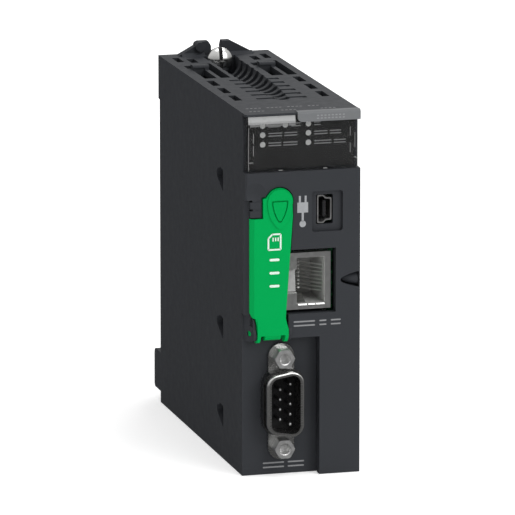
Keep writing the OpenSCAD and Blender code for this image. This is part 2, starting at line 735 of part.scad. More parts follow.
module card_socket() {
    x1 = card_x0 + card_t;
    top = card_z0 + card_w;
    y1 = socket_y + socket_l;
    color(black) {
        box([side_x + 0.02, socket_y, card_z0 - 2.4], [card_x0 - 0.15, y1, top + 2.4]);
        for (z = [[card_z0 - 2.4, card_z0 - 0.25], [top + 0.25, top + 2.4]]) {
            box([card_x0 - 0.3, socket_y, z[0]], [x1 + 0.1, y1, z[1]]);
        }
        box([card_x0 - 0.3, y1 - 1.4, card_z0 - 2.4], [x1 + 0.1, y1, top + 2.4]);
    }
}

module card_socket_shell() {
    x1 = card_x0 + card_t + 0.12;
    color(bright_steel)
    difference() {
        box([x1, socket_y, card_z0 - 2.4], [x1 + 0.3, socket_y + socket_l, card_z0 + card_w + 2.4]);
        for (z = [card_z0 + 6, card_z0 + 15]) {
            box([x1 - 1, socket_y + 6, z], [x1 + 1, socket_y + 14, z + 3]);
        }
    }
}

// ---- Serial port ----

// Outline of the plug opening: wide on the left, stepped in on the right; g insets it
function usb_points(g) =
    let (x0 = usb_x0 + g, x1 = usb_x0 + usb_w - g, h = usb_h / 2 - g)
    let (xa = usb_x0 + 1.75 - 0.41 * g, xb = xa + 0.75)
    rounded([[x0, usb_z - h], [xa, usb_z - h], [xb, usb_z - h + 0.75], [x1, usb_z - h + 0.75],
        [x1, usb_z + h - 0.75], [xb, usb_z + h - 0.75], [xa, usb_z + h], [x0, usb_z + h]],
        [0.4, 0.3, 0.2, 0.4, 0.4, 0.2, 0.3, 0.4], 3);

module usb_shell() {
    color(bright_steel)
    difference() {
        upright(usb_y, usb_y + usb_l) polygon(usb_points(0));
        upright(usb_y - 1, usb_y + usb_l - usb_wall) polygon(usb_points(usb_wall));
    }
}

module usb_insert() {
    back = usb_y + usb_l - usb_wall;
    color(black) {
        upright(back - 2.6, back) polygon(usb_points(usb_wall));
        upright(usb_y + 0.8, back - 2.5) polygon(box_points(usb_x0 + 1.75, usb_z - 2.2, usb_x0 + 2.5, usb_z + 2.2));
    }
}

module usb_contacts() {
    color(gold) for (i = [-2:2]) {
        box([usb_x0 + 2.5, usb_y + 1.1, usb_z + 0.8 * i - 0.2],
            [usb_x0 + 2.65, usb_y + usb_l - 3, usb_z + 0.8 * i + 0.2]);
    }
}

// ---- Network port ----

module port_cavity(y0, y1, g) {
    box([cavity_x0 - g, y0, port_z - cavity_h / 2 - g], [cavity_x1 + g, y1, port_z + cavity_h / 2 + g]);
    box([cavity_x0 - 2.8 - g, y0, port_z - 3.15 - g], [cavity_x0 + 1, y1, port_z + 3.15 + g]);
}

module network_shield() {
    half = port_h / 2;
    color(bright_steel)
    difference() {
        box([port_x0, port_y, port_z - half], [port_x1 - 0.05, port_y + port_l, port_z + half]);
        box([port_x0 + port_wall, port_y + port_wall, port_z - half + port_wall],
            [port_x1 + 1, port_y + port_l - port_wall, port_z + half - port_wall]);
        port_cavity(port_y - 1, port_y + 1, 0.15);
        // Spring fingers cut into the lower and upper sides
        for (x = [-2.4, 2, 5.2]) {
            box([x, port_y + 2, port_z - half - 1], [x + 0.4, port_y + 9, port_z + half + 1]);
        }
    }
}

module network_insert() {
    half = port_h / 2 - port_wall - 0.05;
    color(black)
    difference() {
        box([port_x0 + port_wall + 0.05, port_y + port_wall + 0.05, port_z - half],
            [port_x1 - 0.05, port_y + port_l - port_wall - 0.05, port_z + half]);
        port_cavity(port_y, port_y + cavity_l, 0);
    }
}

// Eight spring wires that slope from the front right of the opening to its rear left
module network_contacts() {
    color(gold) for (i = [0:7]) {
        translate([cavity_x1 + 0.3, port_y + 2.2, port_z + wire_pitch * (i - 3.5)]) rotate([-90, 0, 38])
            cylinder(h = 9.6, r = 0.23);
    }
}

// ---- Nine-pin connector ----

// D-shaped outline, wide side on the right, grown by g
function d_points(g) =
    let (w = shell_w / 2 + g, wide = shell_h / 2 + g, narrow = wide - 2 * w * tan(10))
    rounded([[dsub_x - w, dsub_z - narrow], [dsub_x + w, dsub_z - wide], [dsub_x + w, dsub_z + wide],
        [dsub_x - w, dsub_z + narrow]], 2.7 + g, 7);

module dsub_shell() {
    reach = jack_pitch / 2;
    color(bright_steel)
    difference() {
        union() {
            upright(shell_rim, step_y) polygon(d_points(0));
            upright(flange_y, step_y) union() {
                square_w = 7.2;
                polygon(box_points(dsub_x - square_w / 2, dsub_z - reach, dsub_x + square_w / 2, dsub_z + reach));
                for (s = [-1, 1]) {
                    translate([dsub_x, dsub_z + s * reach]) circle(r = square_w / 2 + 0.02);
                }
                polygon(d_points(collar_w - 0.1));
            }
        }
        upright(shell_rim - 1, step_y + 1) polygon(d_points(-shell_wall));
        for (s = [-1, 1]) {
            rod_y(flange_y - 1, step_y + 1, dsub_x, dsub_z + s * reach, 1.65);
        }
    }
}

module dsub_collar() {
    color(black)
    difference() {
        upright(collar_y, flange_y - 0.02) polygon(d_points(collar_w));
        upright(collar_y - 1, flange_y + 1) polygon(d_points(0.05));
    }
}

module dsub_insulator() {
    color(black) {
        upright(front_y + 3.4, step_y + 0.2) polygon(d_points(-shell_wall - 0.05));
        upright(step_y + 0.05, step_back + 0.2) polygon(d_points(0));
        box([dsub_x - 5.4, step_back + 0.1, dsub_z - 9.6], [dsub_x + 5.4, step_y + 10, dsub_z + 9.6]);
    }
}

module pin_with_tail(x, z) {
    rod_y(shell_rim + 0.9, step_y + 11, x, z, 0.5);
    box([side_x - board_t - 0.1, step_y + 10.5, z - 0.3], [x, step_y + 11.1, z + 0.3]);
}

module dsub_pins() {
    color(gold) {
        for (i = [-2:2]) {
            pin_with_tail(dsub_x + pin_columns / 2, dsub_z + pin_pitch * i);
        }
        for (i = [-1.5:1:1.5]) {
            pin_with_tail(dsub_x - pin_columns / 2, dsub_z + pin_pitch * i);
        }
    }
}

module dsub_jackscrews() {
    top_y = front_y - 1.3;
    color(bright_steel) for (s = [-1, 1]) {
        translate([dsub_x, 0, dsub_z + s * jack_pitch / 2])
        difference() {
            union() {
                translate([0, flange_y, 0]) rotate([90, 0, 0])
                    cylinder(h = flange_y - top_y, r = hex_af / 2 / cos(30), $fn = 6);
                rod_y(flange_y - 0.1, step_back + 2.5, 0, 0, 1.5);
            }
            rod_y(top_y - 1, flange_y + 1, 0, 0, jack_hole_r);
        }
    }
}

// ---- Captive screw ----

module fixing_screw() {
    color(bright_steel) on_screw_axis()
    difference() {
        union() {
            // Domed head
            translate([0, 0, -head_l]) cylinder(h = head_l - 1, r = head_r);
            translate([0, 0, -1]) cylinder(h = 1, r1 = head_r, r2 = 2.1);
            translate([0, 0, -screw_len]) cylinder(h = screw_len - head_l, r = waist_r);
            translate([0, 0, -screw_len]) cylinder(h = thread_l, r = thread_r);
        }
        // Slot and cross recess
        box([-0.45, -head_r - 1, -1.3], [0.45, head_r + 1, 1]);
        box([-1.9, -0.4, -1.6], [1.9, 0.4, 1]);
        box([-0.4, -1.9, -1.9], [0.4, 1.9, 1]);
    }
}

module screw_washer() {
    color(bright_steel) on_screw_axis()
    difference() {
        translate([0, 0, -head_l - washer_t - 0.02]) cylinder(h = washer_t, r = 3.1);
        translate([0, 0, -head_l - 2]) cylinder(h = 3, r = waist_r + 0.08);
    }
}

// ---- Rear connector ----

module bus_connector() {
    z0 = bus_z - bus_h / 2;
    z1 = bus_z + bus_h / 2;
    color([0.2, 0.2, 0.21])
    difference() {
        box([bus_x0, bus_y, z0], [main_x - 0.05, bus_back, z1]);
        box([bus_x0 + 1.2, bus_back - 8, z0 + 2.6], [main_x - 1.25, bus_back + 1, z1 - 2.6]);
        for (z = [z0 + 1.3, z1 - 1.3]) {
            rod_y(bus_back - 3, bus_back + 1, bus_x0 + 4.5, z, 0.8);
        }
    }
}

module bus_pins() {
    color(gold) for (column = [0, 1]) for (i = [0:19]) {
        x = bus_x0 + 3.2 + 2.54 * column;
        y = bus_tail_y(column);
        z = bus_z + 2.3 * (i - 9.5);
        box([x - 0.3, y, z - 0.3], [x + 0.3, bus_back - 1.6, z + 0.3]);
        box([x - 0.3, y, z - 0.3], [main_x + board_t + 0.6, y + 0.6, z + 0.3]);
    }
}

module bus_screws() {
    color(bright_steel) for (s = [-1, 1]) {
        rod_y(bus_back - 2.8, bus_back + 0.1, bus_x0 + 4.5, bus_z + s * (bus_h / 2 - 1.3), 0.75);
        rod_y(bus_back, bus_back + 0.8, bus_x0 + 4.5, bus_z + s * (bus_h / 2 - 1.3), 1.25);
    }
}

// ---- Boards ----

module main_board() {
    color(board_green)
    difference() {
        box([main_x, main_y, board_z0], [main_x + board_t, main_y + main_l, board_z0 + main_h]);
        for (p = spacers) {
            rod_x(main_x - 1, main_x + board_t + 1, p[0], p[1], 1.4);
        }
        for (column = [0, 1]) for (i = [0:19]) {
            box([main_x - 1, bus_tail_y(column) - 0.05, bus_z + 2.3 * (i - 9.5) - 0.35],
                [main_x + board_t + 1, bus_tail_y(column) + 0.65, bus_z + 2.3 * (i - 9.5) + 0.35]);
        }
    }
}

module connector_board() {
    color(board_green)
    difference() {
        box([side_x - board_t, side_y, board_z0], [side_x, side_y + side_l, board_z0 + side_h]);
        for (p = spacers) {
            rod_x(side_x - board_t - 1, side_x + 1, p[0], p[1], 1.4);
        }
        for (i = [-2:0.5:2]) {
            box([side_x - board_t - 1, step_y + 10.45, dsub_z + pin_pitch * i - 0.35],
                [side_x + 1, step_y + 11.15, dsub_z + pin_pitch * i + 0.35]);
        }
    }
}

module board_link() {
    color(black) box([side_x + 0.02, front_y + 62, 38], [main_x - 0.02, front_y + 67, 64]);
}

module board_spacers() {
    color(bright_steel) for (p = spacers) {
        difference() {
            hex_x(side_x + 0.02, main_x - 0.02, p[0], p[1], spacer_af);
            rod_x(side_x - 1, side_x + 6, p[0], p[1], 1.25);
            rod_x(main_x - 6, main_x + 1, p[0], p[1], 1.25);
        }
    }
}

module spacer_screws() {
    color(bright_steel) for (p = spacers) {
        rod_x(side_x - board_t - 0.05, side_x + 5, p[0], p[1], 1.2);
        hex_x(side_x - board_t - 1, side_x - board_t, p[0], p[1], 4);
        rod_x(main_x - 5, main_x + board_t + 0.05, p[0], p[1], 1.2);
        hex_x(main_x + board_t, main_x + board_t + 1.4, p[0], p[1], 4);
    }
}

module on_main_right(y, z, l, h, t) {
    box([main_x + board_t, front_y + y, z], [main_x + board_t + t, front_y + y + l, z + h]);
}

module processor_chip() {
    color([0.15, 0.15, 0.16]) {
        on_main_right(38, 50, 23, 23, 1.7);
        on_main_right(41, 53, 17, 17, 2.3);
    }
}

module memory_chips() {
    color([0.13, 0.13, 0.14]) {
        for (z = [36, 22]) {
            on_main_right(36, z, 18, 10, 1.2);
        }
        on_main_right(16, 60, 12, 18, 1.2);
    }
}

module capacitors() {
    color([0.7, 0.7, 0.72]) for (p = [[40, 24], [52, 24], [40, 34], [52, 34]]) {
        rod_x(main_x - 8, main_x - 0.02, front_y + p[0], p[1], 4);
    }
}

module backup_capacitor() {
    color([0.2, 0.3, 0.5]) rod_x(main_x - 5.5, main_x - 0.02, front_y + 62, 18, 6.5);
}

module inductors() {
    color([0.3, 0.3, 0.31]) for (z = [82, 68]) {
        box([main_x - 4.5, front_y + 50, z], [main_x - 0.02, front_y + 60, z + 10]);
    }
}

module crystal() {
    color(bright_steel) on_main_right(31, 74, 11, 4.6, 3.4);
}

// Leaf that touches the rack's earth bar below the feet
module ground_spring() {
    color(bright_steel) sideways(-5, 5)
        polygon([[rear_plate_y + rear_plate_t, 3], [rear_plate_y + rear_plate_t + 0.4, 3],
            [rear_plate_y + rear_plate_t + 0.4, 6.5], [rear_y + 3, 10], [rear_y + 3, 10.4],
            [rear_plate_y + rear_plate_t + 0.4, 15.5], [rear_plate_y + rear_plate_t, 15.5],
            [rear_plate_y + rear_plate_t, 15.1], [rear_y + 2.5, 10.2], [rear_plate_y + rear_plate_t, 6.7]]);
}

casing();
rear_cover();
cover_screws();
front_bezel();
display_window();
display_panel();
light_pipes();
display_board();
status_leds();
id_plate();
card_door();
memory_card();
card_socket();
card_socket_shell();
usb_shell();
usb_insert();
usb_contacts();
network_shield();
network_insert();
network_contacts();
dsub_shell();
dsub_collar();
dsub_insulator();
dsub_pins();
dsub_jackscrews();
fixing_screw();
screw_washer();
bus_connector();
bus_pins();
bus_screws();
main_board();
connector_board();
board_link();
board_spacers();
spacer_screws();
processor_chip();
memory_chips();
capacitors();
backup_capacitor();
inductors();
crystal();
ground_spring();
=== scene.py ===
"""A PLC processor module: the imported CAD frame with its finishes, printed marks and fine pieces.

Lengths are in metres; MM turns the millimetres of small details into metres.
The front looks along -Y, the rack side along +Y, and Z is up.
"""
import json
import math

import bmesh
import bpy
from mathutils import Matrix, Vector


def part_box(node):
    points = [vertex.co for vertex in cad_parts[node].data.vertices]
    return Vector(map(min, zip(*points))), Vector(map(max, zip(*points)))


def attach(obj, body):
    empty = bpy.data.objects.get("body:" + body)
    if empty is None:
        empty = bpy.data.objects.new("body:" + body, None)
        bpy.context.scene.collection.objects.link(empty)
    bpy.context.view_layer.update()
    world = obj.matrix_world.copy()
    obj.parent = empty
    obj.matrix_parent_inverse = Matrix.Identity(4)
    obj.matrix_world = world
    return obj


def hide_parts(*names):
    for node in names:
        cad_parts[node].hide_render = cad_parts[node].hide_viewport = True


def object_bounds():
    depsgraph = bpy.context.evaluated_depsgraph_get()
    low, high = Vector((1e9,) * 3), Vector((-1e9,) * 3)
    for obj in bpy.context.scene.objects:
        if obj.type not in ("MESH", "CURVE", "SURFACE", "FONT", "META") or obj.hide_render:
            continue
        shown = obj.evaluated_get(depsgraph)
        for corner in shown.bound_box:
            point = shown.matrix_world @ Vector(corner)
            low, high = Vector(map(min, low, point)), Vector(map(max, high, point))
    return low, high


MM = 0.001
SHARP_ANGLE = math.radians(35)

# Camera: the photograph's viewing angle
CAMERA_AZIMUTH = -15.4
CAMERA_ELEVATION = 12.25
CAMERA_DISTANCE = 1.64
CAMERA_LENS = 415
CAMERA_SENSOR = 36
CAMERA_TARGET = Vector((0.00016, -0.00153, 0.05052))

# Printed marks: how far behind the surface they start and how thick they are
MARK_SINK = 0.02 * MM
INK = 0.05 * MM
# Thickness of the thin sheets of painted highlight on the window and panel
PAINTED_SHEET_THICKNESS = 0.03 * MM
RAISED_INK = 0.06 * MM

# Status lights
LIGHT_R = 0.75 * MM

# Network port, whose shield lies a little behind the flat front face
SHIELD_SETBACK = 1.5 * MM
WIRES = 8
WIRE_PITCH = 1.02 * MM
WIRE_R = 0.22 * MM

# Nine-pin connector, whose jackscrews stand out from the face of the step
JACKSCREW_REACH = 4.9 * MM
PIN_PITCH = 2.76 * MM
PIN_COLUMN = 1.42 * MM
PIN_R = 0.5 * MM
PIN_TAIL = 0.48 * MM
FLANGE_THICKNESS = 1 * MM
HEX_FLATS = 5 * MM
BORE_R = 1.42 * MM
BORE_DEPTH = 3.4 * MM
BORE_CHAMFER = 0.25 * MM
STUD_R = 1.5 * MM

# Fixing screw
SCREW_HEAD_L = 2.6 * MM
SCREW_LENGTH = 14.35 * MM
SCREW_HEAD_R = 3.7 * MM
SCREW_DOME = 1.55 * MM
SCREW_WAIST_R = 1.45 * MM
SCREW_THREAD_R = 2 * MM
SCREW_THREAD_L = 3.3 * MM
SCREW_PITCH = 0.7 * MM
SCREW_RIDGE = 0.42 * MM
SLOT_HALF_WIDTH = 0.55 * MM
SLOT_DEPTH = 1.7 * MM
CROSS_REACH = 1.9 * MM
CROSS_HALF_WIDTH = 0.4 * MM
CROSS_DEPTH = 1.8 * MM


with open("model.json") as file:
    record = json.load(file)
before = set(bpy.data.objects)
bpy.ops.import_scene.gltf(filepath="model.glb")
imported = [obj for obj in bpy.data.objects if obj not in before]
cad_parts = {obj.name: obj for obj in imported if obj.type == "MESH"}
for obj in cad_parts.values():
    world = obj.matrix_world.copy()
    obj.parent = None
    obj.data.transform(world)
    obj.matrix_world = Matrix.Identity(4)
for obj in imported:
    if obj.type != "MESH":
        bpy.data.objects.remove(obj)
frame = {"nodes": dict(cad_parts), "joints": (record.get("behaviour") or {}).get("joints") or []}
cad_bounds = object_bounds()
NODES = frame["nodes"]

# Depth of the flat front face
FRONT_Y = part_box("network_shield")[0].y - SHIELD_SETBACK


# ---- Materials ----

def new_material(name):
    """An empty node material with a Principled shader; returns material, tree and shader."""
    material = bpy.data.materials.new(name)
    material.use_nodes = True
    tree = material.node_tree
    return material, tree, tree.nodes["Principled BSDF"]


def linear(level):
    """One sRGB channel, 0 to 255, as a linear value."""
    value = level / 255
    return value / 12.92 if value <= 0.04045 else ((value + 0.055) / 1.055) ** 2.4


def colour(red, green, blue):
    """A colour given as sRGB channels, 0 to 255, as linear RGBA."""
    return (linear(red), linear(green), linear(blue), 1)


def noise(tree, scale, detail=3, rough=0.5, stretch=(1, 1, 1)):
    """Noise over the object's own coordinates, scale in cells per metre."""
    place = tree.nodes.new("ShaderNodeTexCoord")
    mapping = tree.nodes.new("ShaderNodeMapping")
    mapping.inputs["Scale"].default_value = stretch
    texture = tree.nodes.new("ShaderNodeTexNoise")
    texture.inputs["Scale"].default_value = scale
    texture.inputs["Detail"].default_value = detail
    texture.inputs["Roughness"].default_value = rough
    tree.links.new(place.outputs["Object"], mapping.inputs["Vector"])
    tree.links.new(mapping.outputs["Vector"], texture.inputs["Vector"])
    return texture.outputs["Fac"]


def spread(tree, source, low, high, start=0.3, end=0.7):
    """Maps a 0 to 1 field to the range low to high."""
    node = tree.nodes.new("ShaderNodeMapRange")
    node.inputs["From Min"].default_value = start
    node.inputs["From Max"].default_value = end
    node.inputs["To Min"].default_value = low
    node.inputs["To Max"].default_value = high
    tree.links.new(source, node.inputs["Value"])
    return node.outputs["Result"]


def blend_colours(tree, source, first, second):
    """A colour between first and second, by a 0 to 1 field."""
    node = tree.nodes.new("ShaderNodeMix")
    node.data_type = "RGBA"
    node.inputs["A"].default_value = first
    node.inputs["B"].default_value = second
    tree.links.new(source, node.inputs["Factor"])
    return node.outputs["Result"]


def bump(tree, shader, height, distance):
    """Lets a field raise the surface by up to a distance."""
    node = tree.nodes.new("ShaderNodeBump")
    node.inputs["Distance"].default_value = distance
    tree.links.new(height, node.inputs["Height"])
    tree.links.new(node.outputs["Normal"], shader.inputs["Normal"])


def paint(tree, shader, field, first, second):
    """Lets a field move the base colour from first to second."""
    tone = blend_colours(tree, spread(tree, field, 0, 1), first, second)
    tree.links.new(tone, shader.inputs["Base Color"])


def polish(tree, shader, field, low, high):
    """Lets a field move the roughness from low to high."""
    tree.links.new(spread(tree, field, low, high), shader.inputs["Roughness"])


def toned(base, factor):
    """A colour made lighter or darker by a factor."""
    return tuple(min(1, channel * factor) for channel in base[:3]) + (1,)


def moulded_plastic(name, base, roughness=0.5, grain=0.01, cells=2600, specular=0.3, shift=0.012):
    """Moulded plastic: a fine spark-eroded grain, faint flow marks and patchy gloss."""
    material, tree, shader = new_material(name)
    flow = noise(tree, 60, 2)
    grain_field = noise(tree, cells, 2, 0.55)
    paint(tree, shader, flow, toned(base, 1 - shift), toned(base, 1 + shift))
    polish(tree, shader, noise(tree, 400, 3), roughness - 0.05, roughness + 0.05)
    shader.inputs["Specular IOR Level"].default_value = specular
    bump(tree, shader, grain_field, grain * MM)
    return material


def bright_metal(name, base, roughness=0.22, brush=(1, 1, 12), scale=900, tarnish=0.12):
    """Plated metal: fine drawn lines, slight tarnish and patchy polish."""
    material, tree, shader = new_material(name)
    shader.inputs["Metallic"].default_value = 1
    paint(tree, shader, noise(tree, 300, 3), toned(base, 1 - tarnish), base)
    lines = noise(tree, scale, 2, 0.6, brush)
    polish(tree, shader, lines, roughness * 0.85, roughness * 1.15)
    bump(tree, shader, lines, 0.0002 * MM)
    return material


def clear_plastic(name):
    """The window: nearly clear, faintly smoked, with a glossy face."""
    material, tree, shader = new_material(name)
    haze = noise(tree, 160, 3)
    paint(tree, shader, haze, (0.030, 0.031, 0.032, 1), (0.045, 0.046, 0.047, 1))
    polish(tree, shader, haze, 0.04, 0.08)
    shader.inputs["Alpha"].default_value = 0.16
    shader.inputs["Specular IOR Level"].default_value = 1
    return material


def printed_ink(name, base, roughness=0.6):
    """Pad-printed ink, slightly uneven."""
    material, tree, shader = new_material(name)
    field = noise(tree, 3500, 2)
    paint(tree, shader, field, toned(base, 0.88), base)
    polish(tree, shader, field, roughness - 0.08, roughness + 0.08)
    return material


def circuit_board(name):
    """Green solder resist over copper tracks that show as a faint grid of lines."""
    material, tree, shader = new_material(name)
    place = tree.nodes.new("ShaderNodeTexCoord")
    tracks = tree.nodes.new("ShaderNodeTexBrick")
    tracks.inputs["Scale"].default_value = 160
    tracks.inputs["Mortar Size"].default_value = 0.06
    tracks.inputs["Color1"].default_value = colour(14, 66, 42)
    tracks.inputs["Color2"].default_value = colour(18, 76, 48)
    tracks.inputs["Mortar"].default_value = colour(34, 108, 62)
    turn = tree.nodes.new("ShaderNodeMapping")
    turn.inputs["Rotation"].default_value = (0, math.radians(90), 0)
    tree.links.new(place.outputs["Object"], turn.inputs["Vector"])
    tree.links.new(turn.outputs["Vector"], tracks.inputs["Vector"])
    tree.links.new(tracks.outputs["Color"], shader.inputs["Base Color"])
    polish(tree, shader, noise(tree, 500, 2), 0.28, 0.4)
    bump(tree, shader, tracks.outputs["Fac"], 0.02 * MM)
    return material


ANTHRACITE = moulded_plastic("anthracite_plastic", colour(53, 55, 59), 0.55, 0.003, 2600, 0.18)
BLACK = moulded_plastic("black_plastic", colour(24, 24, 25), 0.5, 0.002, 3200, 0.25)
PANEL = moulded_plastic("panel_plastic", colour(42, 42, 42), 0.7, 0.001, 3200, 0.08)
PLATE = moulded_plastic("plate_plastic", colour(112, 114, 116), 0.45, 0.004, 3000, 0.25)
GREEN = moulded_plastic("green_plastic", colour(0, 160, 79), 0.42, 0.003, 2400, 0.03)
CARD = moulded_plastic("card_plastic", colour(38, 40, 46), 0.5, 0.004, 3000)
CONNECTOR = moulded_plastic("connector_plastic", colour(178, 178, 176), 0.45, 0.003, 3000)
CHIP = moulded_plastic("chip_plastic", colour(34, 34, 36), 0.6, 0.008, 4000)
SLEEVE = moulded_plastic("sleeve_plastic", colour(40, 70, 120), 0.35, 0.003, 2400, 0.5)
FERRITE = moulded_plastic("ferrite", colour(70, 70, 72), 0.7, 0.02, 3500)
LIGHT_PIPE = moulded_plastic("light_pipe", colour(208, 209, 208), 0.3, 0.001, 2400, 0.4)
LED_BODY = moulded_plastic("led_body", colour(220, 218, 160), 0.25, 0.002, 2400, 0.5)
# Pale strip on the window bevel: painted highlight
PAINTED_BEVEL_HIGHLIGHT = moulded_plastic("painted_bevel_highlight", colour(168, 169, 169), 0.3, 0.001, 3000, 0.4)
# Light lines inside the window: painted reflection
PAINTED_GLINT = moulded_plastic("painted_window_glint", colour(138, 139, 139), 0.2, 0.001, 3000, 0.6)
STEEL = bright_metal("bright_steel", (0.62, 0.62, 0.61, 1), 0.26)
TIN = bright_metal("tinned_steel", (0.78, 0.78, 0.77, 1), 0.36, (1, 1, 1), 900, 0.04)
SATIN = bright_metal("satin_steel", (0.93, 0.93, 0.925, 1), 0.44, (1, 1, 1), 900, 0.04)
# Dark plated steel for the connector collar; also the painted shade in the screw's slot and cross
DARK_STEEL_AND_RECESS_SHADE = bright_metal("dark_steel_and_recess_shade", (0.26, 0.26, 0.26, 1), 0.24, (1, 1, 1), 500, 0.05)
# Pins darkened to near black: painted shade
PIN_STEEL_PAINTED_SHADE = bright_metal("pin_steel_painted_shade", (0.16, 0.16, 0.16, 1), 0.4, (1, 1, 1), 500, 0.05)
SCREW_STEEL = bright_metal("screw_steel", (0.92, 0.92, 0.9, 1), 0.21, (1, 1, 1), 500, 0.03)
GOLD = bright_metal("gold_contacts", (0.80, 0.60, 0.28, 1), 0.2)
CAN = bright_metal("can_aluminium", (0.72, 0.72, 0.73, 1), 0.3)
WINDOW = clear_plastic("clear_window")
BOARD = circuit_board("circuit_board")
GREY_INK = printed_ink("grey_ink", colour(140, 141, 143))
LEGEND_INK = printed_ink("legend_ink", colour(150, 151, 152))
WHITE_INK = printed_ink("white_ink", colour(225, 245, 232))
PALE_INK = printed_ink("pale_ink", colour(160, 162, 165))

FINISHES = {
    "casing": ANTHRACITE, "front_bezel": ANTHRACITE, "rear_cover": ANTHRACITE, "cover_screws": STEEL,
    "display_window": WINDOW, "display_panel": PANEL, "light_pipes": LIGHT_PIPE, "display_board": BOARD,
    "status_leds": LED_BODY, "id_plate": PLATE, "card_door": GREEN, "memory_card": CARD,
    "card_socket": BLACK, "card_socket_shell": STEEL, "usb_shell": TIN, "usb_insert": CHIP,
    "usb_contacts": TIN, "network_shield": TIN, "network_insert": CONNECTOR, "network_contacts": TIN,
    "dsub_shell": STEEL, "dsub_collar": DARK_STEEL_AND_RECESS_SHADE, "dsub_insulator": BLACK, "dsub_pins": PIN_STEEL_PAINTED_SHADE,
    "dsub_jackscrews": SATIN, "fixing_screw": SCREW_STEEL, "screw_washer": STEEL, "bus_connector": BLACK,
    "bus_pins": GOLD, "bus_screws": STEEL, "main_board": BOARD, "connector_board": BOARD,
    "board_link": BLACK, "board_spacers": STEEL, "spacer_screws": STEEL, "processor_chip": CHIP,
    "memory_chips": CHIP, "capacitors": CAN, "backup_capacitor": SLEEVE, "inductors": FERRITE,
    "crystal": STEEL, "ground_spring": STEEL,
}


def finish_nodes():
    """Gives every CAD node its material."""
    for name, material in FINISHES.items():
        node = NODES[name]
        node.data.materials.clear()
        node.data.materials.append(material)


# Nodes whose sharp edges are rounded: width in millimetres and number of steps
EDGES = (("casing", 0.15, 2), ("front_bezel", 0.12, 2), ("id_plate", 0.06, 2), ("card_door", 0.12, 2),
         ("network_shield", 0.12, 2), ("usb_shell", 0.08, 2), ("dsub_shell", 0.2, 3), ("dsub_collar", 0.8, 5))


def soften_edges(name, width, steps):
    """Rounds a node's sharp edges a little, as a mould does."""
    modifier = NODES[name].modifiers.new("edge", "BEVEL")
    modifier.width = width * MM
    modifier.segments = steps
    modifier.limit_method = "ANGLE"
    modifier.angle_limit = SHARP_ANGLE
    modifier.use_clamp_overlap = True
    modifier.harden_normals = False


# ---- Building blocks ----

def new_object(name, mesh_maker):
    """A new object in the scene; mesh_maker fills its bmesh."""
    mesh = bpy.data.meshes.new(name)
    bm = bmesh.new()
    mesh_maker(bm)
    bmesh.ops.recalc_face_normals(bm, faces=bm.faces)
    bm.to_mesh(mesh)
    bm.free()
    obj = bpy.data.objects.new(name, mesh)
    bpy.context.scene.collection.objects.link(obj)
    return obj


def piece(name, body, material, mesh_maker, smooth=False):
    """A new object riding on a body, with its material."""
    obj = new_object(name, mesh_maker)
    obj.data.materials.append(material)
    if smooth:
        obj.data.polygons.foreach_set("use_smooth", [True] * len(obj.data.polygons))
        obj.data.set_sharp_from_angle(angle=SHARP_ANGLE)
    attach(obj, body)
    return obj


def prism(bm, outline, place, depth):
    """A closed prism: outline points (u, v) put in place by a function, thickened by the vector depth."""
    near = [bm.verts.new(place(u, v)) for u, v in outline]
    far = [bm.verts.new(place(u, v) + depth) for u, v in outline]
    count = len(outline)
    bm.faces.new(near)
    bm.faces.new(list(reversed(far)))
    for i in range(count):
        j = (i + 1) % count
        bm.faces.new((near[j], near[i], far[i], far[j]))


def pill(u0, u1, v0, v1, steps=5):
    """Outline of a bar with round ends."""
    r = (v1 - v0) / 2
    middle = (v0 + v1) / 2
    points = []
    for end, start in ((u1 - r, -90), (u0 + r, 90)):
        for i in range(steps + 1):
            a = math.radians(start + 180 * i / steps)
            points.append((end + r * math.cos(a), middle + r * math.sin(a)))
    return points


def turns(steps):
    """Equally spaced angles of one full turn."""
    return [2 * math.pi * i / steps for i in range(steps)]


def disc(u, v, r, steps=24):
    """Outline of a disc."""
    return [(u + r * math.cos(a), v + r * math.sin(a)) for a in turns(steps)]


def stroke(start, end, width):
    """Outline of a straight line of a given width."""
    (u0, v0), (u1, v1) = start, end
    length = math.hypot(u1 - u0, v1 - v0)
    nu, nv = -(v1 - v0) / length * width / 2, (u1 - u0) / length * width / 2
    return [(u0 - nu, v0 - nv), (u1 - nu, v1 - nv), (u1 + nu, v1 + nv), (u0 + nu, v0 + nv)]


def on_front(y):
    """Places outline points (x, z), in millimetres, on the upright plane at depth y."""
    return lambda u, v: Vector((u * MM, y, v * MM))


def on_top(z):
    """Places outline points (x, y), in millimetres, on the level plane at height z."""
    return lambda u, v: Vector((u * MM, v * MM, z))


def mark(bm, outline, face, thickness=INK):
    """A thin printed shape, outlined in millimetres, on the upright plane at depth face."""
    prism(bm, outline, on_front(face + MARK_SINK), Vector((0, -thickness, 0)))


def bars(bm, spans, rows, face):
    """A bar with round ends for each span of X in each row of Z, in millimetres."""
    for left, right in spans:
        for low, high in rows:
            mark(bm, pill(left, right, low, high), face)


def inwards(x, y, z):
    """A matrix with its origin at x, y, z and its local Z axis pointing into the front."""
    return Matrix.Translation((x, y, z)) @ Matrix.Rotation(math.radians(-90), 4, "X")


def circle(bm, r, h, axis, steps):
    """A ring of vertices round the local Z axis of a matrix, at height h."""
    return [bm.verts.new(axis @ Vector((r * math.cos(a), r * math.sin(a), h))) for a in turns(steps)]


def join_rings(bm, rings, closed=False):
    """Faces between neighbouring rings, and between the last and the first if closed."""
    following = rings[1:] + rings[:1] if closed else rings[1:]
    for a, b in zip(rings, following):
        for k in range(len(a)):
            j = (k + 1) % len(a)
            bm.faces.new((a[k], a[j], b[j], b[k]))


